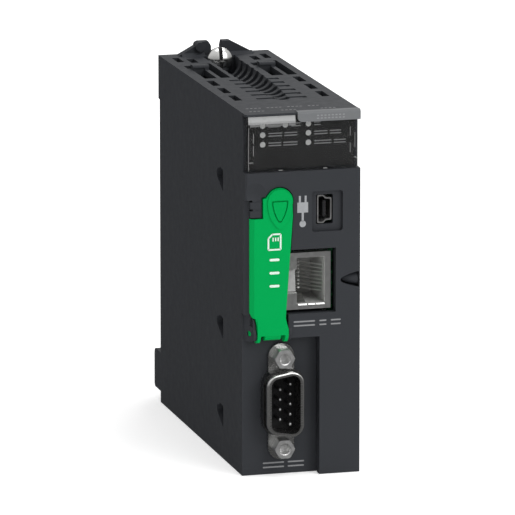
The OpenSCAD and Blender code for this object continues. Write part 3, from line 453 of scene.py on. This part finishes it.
def lathe(bm, profile, axis, steps=32):
    """Turns profile points (radius, height) round the local Z axis of a matrix."""
    rings = []
    for r, h in profile:
        if r < 1e-9:
            rings.append([bm.verts.new(axis @ Vector((0, 0, h)))])
        else:
            rings.append(circle(bm, r, h, axis, steps))
    for low, high in zip(rings, rings[1:]):
        for i in range(steps):
            j = (i + 1) % steps
            corners = [low[i % len(low)], low[j % len(low)], high[j % len(high)], high[i % len(high)]]
            corners = [v for k, v in enumerate(corners) if v not in corners[:k]]
            if len(corners) > 2:
                bm.faces.new(corners)


def box_into(bm, low, high, turn=None):
    """An axis-aligned box, low and high in metres, turned by a matrix if one is given."""
    verts = []
    for x in (low[0], high[0]):
        for y in (low[1], high[1]):
            for z in (low[2], high[2]):
                point = Vector((x, y, z))
                verts.append(bm.verts.new(turn @ point if turn else point))
    for face in ((0, 1, 3, 2), (4, 6, 7, 5), (0, 4, 5, 1), (2, 3, 7, 6), (0, 2, 6, 4), (1, 5, 7, 3)):
        bm.faces.new([verts[i] for i in face])


def tube(bm, path, radius, steps=10):
    """A round wire along a list of points, with domed ends."""
    rings = []
    for i, point in enumerate(path):
        ahead = (path[min(i + 1, len(path) - 1)] - path[max(i - 1, 0)]).normalized()
        side = ahead.cross(Vector((0, 0, 1))).normalized()
        up = side.cross(ahead)
        rings.append([bm.verts.new(point + radius * (side * math.cos(a) + up * math.sin(a)))
                      for a in turns(steps)])
    join_rings(bm, rings)
    for ring, beyond in ((rings[0], path[0] - path[1]), (rings[-1], path[-1] - path[-2])):
        centre = sum((v.co for v in ring), Vector()) / steps
        tip = bm.verts.new(centre + beyond.normalized() * radius * 0.7)
        for k in range(steps):
            bm.faces.new((ring[k], ring[(k + 1) % steps], tip))


def cut_with(obj, cutter_maker, name):
    """Cuts a helper shape out of obj and applies it."""
    cutter = new_object(name, cutter_maker)
    modifier = obj.modifiers.new("cut", "BOOLEAN")
    modifier.operation = "DIFFERENCE"
    modifier.solver = "EXACT"
    modifier.object = cutter
    bpy.context.view_layer.update()
    evaluated = obj.evaluated_get(bpy.context.evaluated_depsgraph_get())
    result = bpy.data.meshes.new_from_object(evaluated)
    obj.modifiers.remove(modifier)
    obj.data = result
    bpy.data.objects.remove(cutter)


# ---- Printed marks ----

def light_columns():
    """X of the three light columns and Z of the three rows, in millimetres."""
    low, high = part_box("light_pipes")
    middle = (low + high) / 2
    middle_row_lift = 0.05
    columns = [(low.x + LIGHT_R) / MM, middle.x / MM, (high.x - LIGHT_R) / MM]
    rows = [(high.z - LIGHT_R) / MM, middle.z / MM + middle_row_lift, (low.z + LIGHT_R) / MM]
    return columns, rows


def panel_legend():
    """Plain double bars beside the status lights."""
    columns, rows = light_columns()
    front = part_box("display_panel")[0].y
    first_gap, gap = 1.5, 0.6
    lengths = {(0, 0): [3.4], (1, 0): [2.7], (2, 0): [1.9], (0, 1): [3.9, 3.6], (2, 1): [3.8, 3.2],
               (0, 2): [3.6, 4.0], (2, 2): [4.9, 3.4]}

    def make(bm):
        for (column, row), group in lengths.items():
            start = columns[column] + first_gap
            z = rows[row]
            for length in group:
                bars(bm, [(start, start + length)], [(z - 0.5, z - 0.22), (z + 0.22, z + 0.5)], front)
                start += length + gap
    piece("panel_legend", "housing", LEGEND_INK, make)


def front_legend():
    """Plain double bars below the network port."""
    def make(bm):
        bars(bm, [(-2.6, 3.4), (4.6, 6.6), (7.8, 10.6)], [(41.35, 41.75), (42.45, 42.85)], FRONT_Y)
    piece("front_legend", "housing", GREY_INK, make)


def step_legend():
    """Plain double bars below the pin connector, on the face of the step."""
    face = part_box("dsub_jackscrews")[0].y + JACKSCREW_REACH

    def make(bm):
        bars(bm, [(-10.2, -4.2), (-3.2, 1.4)], [(1.7, 2.1), (2.9, 3.3)], face)
    piece("step_legend", "housing", GREY_INK, make)


def painted_bevel_highlight():
    """Painted highlight: a pale strip on the bevel at the top left of the window, standing in for the bevel's
    reflection.
    """
    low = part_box("display_window")[0]
    left = low.x + 0.5 * MM
    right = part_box("id_plate")[0].x - 0.6 * MM
    foot, head = 97.2, 99.25
    quad = [(low.y + 0.105 * MM, foot), (low.y + 0.47 * MM, head), (low.y + 0.43 * MM, head),
            (low.y + 0.075 * MM, foot)]

    def make(bm):
        prism(bm, quad, lambda u, v: Vector((left, u, v * MM)), Vector((right - left, 0, 0)))
    piece("painted_bevel_highlight", "housing", PAINTED_BEVEL_HIGHLIGHT, make)


def painted_bevel_highlight_on_panel():
    """The painted highlight's lower part, on the panel round the top row of lights."""
    columns, rows = light_columns()
    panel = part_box("display_panel")
    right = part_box("id_plate")[0].x / MM - 0.2
    gap = LIGHT_R / MM + 0.05
    stops = [panel[0].x / MM + 0.3, columns[0] - gap, columns[0] + gap]
    stops += [columns[1] - gap, columns[1] + gap, right]
    low, high = rows[0] - 0.2, rows[0] + 1.1

    def make(bm):
        for u0, u1 in zip(stops[::2], stops[1::2]):
            mark(bm, [(u0, low), (u1, low), (u1, high), (u0, high)], panel[0].y, PAINTED_SHEET_THICKNESS)
    piece("painted_bevel_highlight_on_panel", "housing", PAINTED_BEVEL_HIGHLIGHT, make)


def painted_window_glints():
    """Painted reflections: light lines and clip spots standing in for the glints on the clear window's edges
    and clips.
    """
    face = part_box("display_window")[0].y - 0.01 * MM
    lines = [((-15.1, 96.4), (-15.15, 84.6), 0.12), ((-13.8, 94.8), (-13.8, 92.1), 0.16),
             ((-13.8, 91.5), (-13.8, 88.7), 0.16), ((-15.1, 86.9), (-13.8, 86.9), 0.2),
             ((13.1, 95.4), (13.1, 93), 0.14), ((13.1, 91), (13.1, 88.4), 0.14),
             ((14.4, 93.8), (14.4, 89.7), 0.12), ((14.3, 87.2), (15, 86.8), 0.24),
             ((-6.8, 84.5), (-5.7, 84.5), 0.22), ((5.6, 84.5), (6.7, 84.5), 0.22)]

    def make(bm):
        for start, end, width in lines:
            mark(bm, stroke(start, end, width), face, PAINTED_SHEET_THICKNESS)
    piece("painted_window_glints", "housing", PAINTED_GLINT, make)


def plug_mark():
    """A plain plug pictogram to the left of the serial port."""
    shapes = [
        [(-1.6, 72.6), (1.4, 72.6), (1.4, 75.4), (-1.6, 75.4)],
        stroke((-0.9, 75.4), (-0.9, 77.2), 0.55),
        stroke((0.7, 75.4), (0.7, 77.2), 0.55),
        stroke((-0.1, 72.6), (-0.1, 70.2), 0.6),
        disc(-0.1, 69.5, 0.9),
    ]

    def make(bm):
        for shape in shapes:
            mark(bm, shape, FRONT_Y)
    piece("plug_mark", "housing", PALE_INK, make)


def door_mark():
    """A plain memory-card pictogram and three dashes down the door."""
    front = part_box("card_door")[0].y + 0.3 * MM
    x, top, width, height, line = -8.1, 67.2, 3.4, 4.2, 0.45
    left, right, low = x - width / 2, x + width / 2, top - height
    card = [(left, low), (right, low), (right, top), (left + 1.1, top), (left, top - 1.1)]
    shapes = [stroke(start, end, line) for start, end in zip(card, card[1:] + card[:1])]
    shapes += [stroke((x + u, top - 0.9), (x + u, top - 1.9), 0.35) for u in (-0.4, 0.3, 1)]
    for z in (60.2, 56.6, 53):
        shapes.append(pill(x - 1.4, x + 1.4, z - 0.35, z + 0.35))

    def make(bm):
        for shape in shapes:
            mark(bm, shape, front)
    piece("door_mark", "door", WHITE_INK, make)


def plate_marks():
    """Two rows of raised plain ticks on the type plate."""
    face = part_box("id_plate")[0].y
    count, first, pitch, half = 8, 4.1, 1.02, 0.32

    def make(bm):
        for i in range(count):
            u = first + pitch * i
            for low, high in ((98.0, 98.35), (98.75, 99.1)):
                mark(bm, pill(u - half, u + half, low, high), face, RAISED_INK)
    piece("plate_marks", "housing", GREY_INK, make)


def top_ticks():
    """Two rows of tiny moulded marks at the front of the top, in groups of four."""
    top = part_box("front_bezel")[1].z
    front = FRONT_Y / MM
    pitch, length, half = 1.15, 0.8, 0.25

    def make(bm):
        for start, end, depth in ((-13.6, 7.2, 8.5), (-13.8, -8.4, 4.3), (-5, 1.4, 4.3), (6, 11.6, 4.3)):
            y = front + depth
            for i in range(int((end - start) / pitch)):
                u = start + pitch * i
                if i % 5 < 4:
                    prism(bm, pill(u, u + length, y - half, y + half, 3), on_top(top - 0.01 * MM),
                          Vector((0, 0, 0.04 * MM)))
    piece("top_ticks", "housing", GREY_INK, make)


# ---- Fine metalwork ----

def wire_heights(low, high):
    """Z of the network port's wires, shared out about the middle of their box."""
    middle = (low.z + high.z) / 2
    return [middle + WIRE_PITCH * (i - (WIRES - 1) / 2) for i in range(WIRES)]


def contact_wires():
    """Eight spring wires of the network port, bent over a comb."""
    low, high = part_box("network_contacts")
    start = Vector((high.x, low.y + 0.2 * MM, 0))
    end = Vector((low.x + 0.2 * MM, high.y - 0.1 * MM, 0))
    sag = 0.35 * MM
    sag_way = Vector((-0.6, -0.8, 0))
    pieces = 12

    def make(bm):
        for z in wire_heights(low, high):
            path = []
            for k in range(pieces + 1):
                t = k / pieces
                point = start.lerp(end, t)
                point.z = z
                path.append(point + sag_way * sag * math.sin(math.pi * t))
            tube(bm, path, WIRE_R)
    wires = piece("contact_wires", "housing", TIN, make, smooth=True)
    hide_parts("network_contacts")


def lip(bm, x0, x1, y, z, deep, tall):
    """A strip from x0 to x1 whose face slopes back from (y, z), rising tall over deep."""
    prism(bm, [(y, z), (y + deep, z + tall), (y + deep, z)], lambda u, v: Vector((x0, u, v)),
          Vector((x1 - x0, 0, 0)))


def wire_comb():
    """Bright ends of the contact wires where they rest in the comb."""
    low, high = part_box("network_contacts")
    x = low.x + 0.75 * MM
    y = high.y - 1.9 * MM

    def make(bm):
        for z in wire_heights(low, high):
            lip(bm, x - 0.25 * MM, x + 0.25 * MM, y, z - 0.2 * MM, 0.3 * MM, 0.45 * MM)
    piece("wire_comb", "housing", SCREW_STEEL, make)


def shield_springs():
    """Folded lips along the lower edge of the network port, a sloping spring and the latch plate."""
    low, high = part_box("network_shield")
    middle = (low.z + high.z) / 2
    edge = middle - 6.3 * MM

    def make(bm):
        for x0, x1 in ((-0.9, 1.5), (1.9, 3.8), (4.1, 6.4)):
            lip(bm, x0 * MM, x1 * MM, low.y - 0.4 * MM, edge - 0.3 * MM, 0.3 * MM, 0.3 * MM)
        lip(bm, -1 * MM, 1.6 * MM, low.y + 1.5 * MM, edge, 4 * MM, 1.7 * MM)
    piece("shield_springs", "housing", SCREW_STEEL, make)

    def make_plate(bm):
        lip(bm, -3.8 * MM, -1.3 * MM, low.y + 1.2 * MM, middle - 3 * MM, 0.8 * MM, 6 * MM)
    piece("latch_plate", "housing", TIN, make_plate)


def connector_pins():
    """Turned pins of the nine-way connector with rounded tips and square tails. The pins are made dark as
    painted shade, and bright caps on their tips are a painted highlight.
    """
    low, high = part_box("dsub_pins")
    shell_low, shell_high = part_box("dsub_collar")
    x = (shell_low.x + shell_high.x) / 2
    z = (shell_low.z + shell_high.z) / 2
    places = [(x + PIN_COLUMN, z + PIN_PITCH * i) for i in (-2, -1, 0, 1, 2)]
    places += [(x - PIN_COLUMN, z + PIN_PITCH * i) for i in (-1.5, -0.5, 0.5, 1.5)]
    length = high.y - low.y
    tail_y = high.y - PIN_TAIL - 0.02 * MM
    half_tail = 0.28 * MM
    pin = [(0, 0)]
    for degrees in (25, 50, 70, 90):
        a = math.radians(degrees)
        pin.append((PIN_R * math.sin(a), PIN_R * (1 - math.cos(a))))
    pin += [(PIN_R, length), (0, length)]
    glint = [(0, 0.005 * MM), (0.2 * MM, 0.02 * MM), (0.27 * MM, 0.09 * MM), (0.27 * MM, 0.4 * MM)]

    def make(bm):
        for px, pz in places:
            lathe(bm, pin, inwards(px, low.y, pz), 16)
            box_into(bm, (low.x, tail_y, pz - half_tail), (px, tail_y + PIN_TAIL, pz + half_tail))
    pins = piece("connector_pins", "housing", PIN_STEEL_PAINTED_SHADE, make, smooth=True)
    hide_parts("dsub_pins")

    # Bright caps on the pin tips: painted highlight
    def make_tips(bm):
        for px, pz in places:
            lathe(bm, glint, inwards(px, low.y, pz), 16)
    piece("pin_tip_highlights", "housing", SATIN, make_tips, smooth=True)


def rounded(corners, radius, steps=7):
    """An outline with every corner rounded."""
    points = []
    for i, corner in enumerate(corners):
        here = Vector(corner)
        before = (Vector(corners[i - 1]) - here).normalized()
        after = (Vector(corners[(i + 1) % len(corners)]) - here).normalized()
        half = before.angle(after) / 2
        centre = here + (before + after).normalized() * radius / math.sin(half)
        start = here + before * radius / math.tan(half) - centre
        end = here + after * radius / math.tan(half) - centre
        for k in range(steps + 1):
            points.append(centre + start.normalized().slerp(end.normalized(), k / steps) * radius)
    return [tuple(point) for point in points]


def shell_bead():
    """Rolled rim round the mouth of the nine-way connector's shell."""
    low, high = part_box("dsub_collar")
    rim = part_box("dsub_shell")[0].y
    x = (low.x + high.x) / 2 / MM
    z = (low.z + high.z) / 2 / MM
    r, gap, steps = 0.6, 0.05, 8
    half_width, half_height, corner_r = 4.6, 9.05, 2.7
    slant = math.tan(math.radians(10))

    def outline(grow):
        half, wide = half_width + grow, half_height + grow
        narrow = wide - 2 * half * slant
        corners = [(x - half, z - narrow), (x + half, z - wide), (x + half, z + wide), (x - half, z + narrow)]
        return rounded(corners, corner_r + grow)

    def behind(bm, ring):
        return [bm.verts.new(vert.co + Vector((0, r * MM, 0))) for vert in ring]

    def make(bm):
        rings = []
        for i in range(steps + 1):
            a = math.pi * i / steps
            depth = rim + r * (1 - math.sin(a)) * MM
            edge = outline(gap + r * math.cos(a))
            rings.append([bm.verts.new((u * MM, depth, v * MM)) for u, v in edge])
        join_rings(bm, [behind(bm, rings[0])] + rings + [behind(bm, rings[-1])], closed=True)
    piece("shell_bead", "housing", SCREW_STEEL, make, smooth=True)


def hexagon(bm, r, h, axis, steps):
    """A ring of vertices on a hexagon with a corner at angle 0, rounded off at radius r."""
    ring = []
    for a in turns(steps):
        sector = a % (math.pi / 3) - math.pi / 6
        radius = min(r, HEX_FLATS / 2 / math.cos(sector))
        ring.append(bm.verts.new(axis @ Vector((radius * math.cos(a), radius * math.sin(a), h))))
    return ring


def jackscrews():
    """Hexagonal jackscrews with turned chamfers and a plain bore."""
    low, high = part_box("dsub_jackscrews")
    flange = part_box("dsub_shell")[1].y - FLANGE_THICKNESS
    x = (low.x + high.x) / 2
    middle = (high.z + low.z) / 2
    reach = (high.z - low.z - HEX_FLATS) / 2
    corner = HEX_FLATS / math.sqrt(3)
    head = flange - low.y
    stud = high.y - low.y
    tip = 0.2 * MM
    steps = 48
    hexes = [(corner * 0.93, 0), (corner, 0.22 * MM), (corner, head)]
    rounds = [(STUD_R, head), (STUD_R, stud - tip), (STUD_R - tip, stud)]
    bores = [(BORE_R, BORE_DEPTH), (BORE_R, BORE_CHAMFER), (BORE_R + BORE_CHAMFER, 0)]

    def make(bm):
        for side in (-1, 1):
            axis = inwards(x, low.y, middle + side * reach)
            rings = [circle(bm, r, h, axis, steps) for r, h in bores]
            rings += [hexagon(bm, r, h, axis, steps) for r, h in hexes]
            rings += [circle(bm, r, h, axis, steps) for r, h in rounds]
            join_rings(bm, rings)
            bm.faces.new(rings[0])
            bm.faces.new(rings[-1])
    screws = piece("jackscrews", "housing", SATIN, make, smooth=True)
    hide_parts("dsub_jackscrews")


def fixing_screw():
    """Captive screw: domed slotted head, plain waist and a threaded end."""
    joint = next(j for j in frame["joints"] if j["name"] == "screw_turn")
    turn = Vector(joint["axis"]).normalized().to_track_quat("Z", "Y").to_matrix().to_4x4()
    local = Matrix.Translation(joint["pos_m"]) @ turn
    profile = []
    for degrees in range(0, 90, 10):
        a = math.radians(degrees)
        profile.append((SCREW_HEAD_R * math.sin(a), -SCREW_DOME * (1 - math.cos(a))))
    rim = 0.25 * MM
    profile += [(SCREW_HEAD_R, -SCREW_DOME - 0.05 * MM), (SCREW_HEAD_R, rim - SCREW_HEAD_L),
                (SCREW_HEAD_R - rim, -SCREW_HEAD_L), (SCREW_WAIST_R, -SCREW_HEAD_L),
                (SCREW_WAIST_R, SCREW_THREAD_L - SCREW_LENGTH)]
    profile += thread_profile()

    def make(bm):
        lathe(bm, profile, local, 40)
    screw = piece("fixing_screw_turned", "screw", SCREW_STEEL, make, smooth=True)

    def cutter(half_x, half_y, depth):
        return lambda bm: box_into(bm, (-half_x, -half_y, -depth), (half_x, half_y, 1 * MM), local)
    cut_with(screw, cutter(SLOT_HALF_WIDTH, SCREW_HEAD_R * 1.2, SLOT_DEPTH), "slot_cutter")
    cut_with(screw, cutter(CROSS_REACH, CROSS_HALF_WIDTH, CROSS_DEPTH), "cross_cutter")
    paint_recess_shade(screw, local)
    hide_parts("fixing_screw")


def paint_recess_shade(screw, local):
    """Gives the walls and floor of the screw's slot and cross darker steel: painted shade in the recess."""
    screw.data.materials.append(DARK_STEEL_AND_RECESS_SHADE)
    back = local.inverted()
    slack = 0.01 * MM
    for face in screw.data.polygons:
        centre = back @ face.center
        in_slot = abs(centre.x) < SLOT_HALF_WIDTH + slack
        in_cross = abs(centre.y) < CROSS_HALF_WIDTH + slack and abs(centre.x) < CROSS_REACH + slack
        if (in_slot or in_cross) and centre.z > -CROSS_DEPTH - slack:
            face.material_index = 1


def thread_profile():
    """Ridges of the threaded end, from the waist to the tip."""
    points = []
    tip = -SCREW_LENGTH
    root = SCREW_THREAD_R - SCREW_RIDGE
    for i in range(int(SCREW_THREAD_L / SCREW_PITCH)):
        h = tip + SCREW_THREAD_L - i * SCREW_PITCH
        points += [(root, h), (SCREW_THREAD_R, h - SCREW_PITCH * 0.42)]
        points += [(SCREW_THREAD_R, h - SCREW_PITCH * 0.55)]
    points += [(root, tip + 0.3 * MM), (SCREW_THREAD_R - 0.6 * MM, tip), (0, tip)]
    return points


# ---- Studio ----

def direction(azimuth, elevation):
    """Unit vector from the module towards azimuth, 0 in front and 90 to the right, and elevation."""
    a, e = math.radians(azimuth), math.radians(elevation)
    return Vector((math.sin(a) * math.cos(e), -math.cos(a) * math.cos(e), math.sin(e)))


def area_light(name, power, size, azimuth, elevation):
    """A soft panel aimed at the middle of the module."""
    distance = 1.2
    centre = Vector((0, 0, 0.05))
    offset = direction(azimuth, elevation)
    light = bpy.data.lights.new(name, "AREA")
    light.shape = "RECTANGLE"
    light.size, light.size_y = size
    light.energy = power
    obj = bpy.data.objects.new(name, light)
    obj.location = centre + offset * distance
    obj.rotation_euler = offset.to_track_quat("Z", "Y").to_euler()
    bpy.context.scene.collection.objects.link(obj)


def sky():
    """Even studio light: bright overhead, darker towards and below the horizon."""
    world = bpy.data.worlds.new("studio")
    world.use_nodes = True
    tree = world.node_tree
    place = tree.nodes.new("ShaderNodeTexCoord")
    axes = tree.nodes.new("ShaderNodeSeparateXYZ")
    ramp = tree.nodes.new("ShaderNodeValToRGB")
    tree.links.new(place.outputs["Generated"], axes.inputs["Vector"])
    tree.links.new(spread(tree, axes.outputs["Z"], 0, 1, -1, 1), ramp.inputs["Fac"])
    stops = ramp.color_ramp.elements
    stops[0].position, stops[0].color = 0.35, (0.08, 0.08, 0.08, 1)
    stops[1].position, stops[1].color = 1.0, (0.66, 0.66, 0.66, 1)
    for position, level in ((0.47, 0.1), (0.56, 0.32), (0.75, 0.53)):
        stop = stops.new(position)
        stop.color = (level, level, level, 1)
    tree.links.new(ramp.outputs["Color"], tree.nodes["Background"].inputs["Color"])
    bpy.context.scene.world = world


def floor():
    """A plain pale floor. Mirrors and gloss see the darker sky instead of it, as in a light tent."""
    mesh = bpy.data.meshes.new("floor")
    size = 6
    corners = [(-size, -size, 0), (size, -size, 0), (size, size, 0), (-size, size, 0)]
    mesh.from_pydata(corners, [], [(0, 1, 2, 3)])
    obj = bpy.data.objects.new("floor", mesh)
    obj.location.z = cad_bounds[0][2] - 0.1 * MM
    obj.visible_glossy = False
    material, tree, shader = new_material("studio_floor")
    paint(tree, shader, noise(tree, 3, 2), (0.93, 0.93, 0.93, 1), (0.96, 0.96, 0.96, 1))
    shader.inputs["Roughness"].default_value = 0.9
    shader.inputs["Specular IOR Level"].default_value = 0
    shader.inputs["Emission Color"].default_value = (1, 1, 1, 1)
    shader.inputs["Emission Strength"].default_value = 0.45
    mesh.materials.append(material)
    bpy.context.scene.collection.objects.link(obj)


def studio():
    """World, floor and lights."""
    sky()
    floor()
    sun = bpy.data.lights.new("overhead", "SUN")
    sun.energy = 0.9
    sun.angle = math.radians(50)
    obj = bpy.data.objects.new("overhead", sun)
    obj.rotation_euler = (math.radians(16), math.radians(12), 0)
    bpy.context.scene.collection.objects.link(obj)
    area_light("key", 3, (0.5, 0.5), 30, 25)
    area_light("rim", 2, (0.3, 0.9), 150, 30)
    bpy.context.scene.view_settings.view_transform = "Standard"


def camera():
    """The camera, aimed at the module from the photograph's angle."""
    back = direction(CAMERA_AZIMUTH, CAMERA_ELEVATION)
    data = bpy.data.cameras.new("camera")
    data.lens = CAMERA_LENS
    data.sensor_width = CAMERA_SENSOR
    data.clip_end = 50
    obj = bpy.data.objects.new("camera", data)
    obj.location = CAMERA_TARGET + back * CAMERA_DISTANCE
    obj.rotation_euler = back.to_track_quat("Z", "Y").to_euler()
    bpy.context.scene.collection.objects.link(obj)
    bpy.context.scene.camera = obj


camera()
studio()
finish_nodes()
for node_name, edge_width, edge_steps in EDGES:
    soften_edges(node_name, edge_width, edge_steps)
painted_bevel_highlight()
painted_bevel_highlight_on_panel()
painted_window_glints()
panel_legend()
front_legend()
step_legend()
plug_mark()
door_mark()
plate_marks()
top_ticks()
contact_wires()
wire_comb()
shield_springs()
connector_pins()
shell_bead()
jackscrews()
fixing_screw()
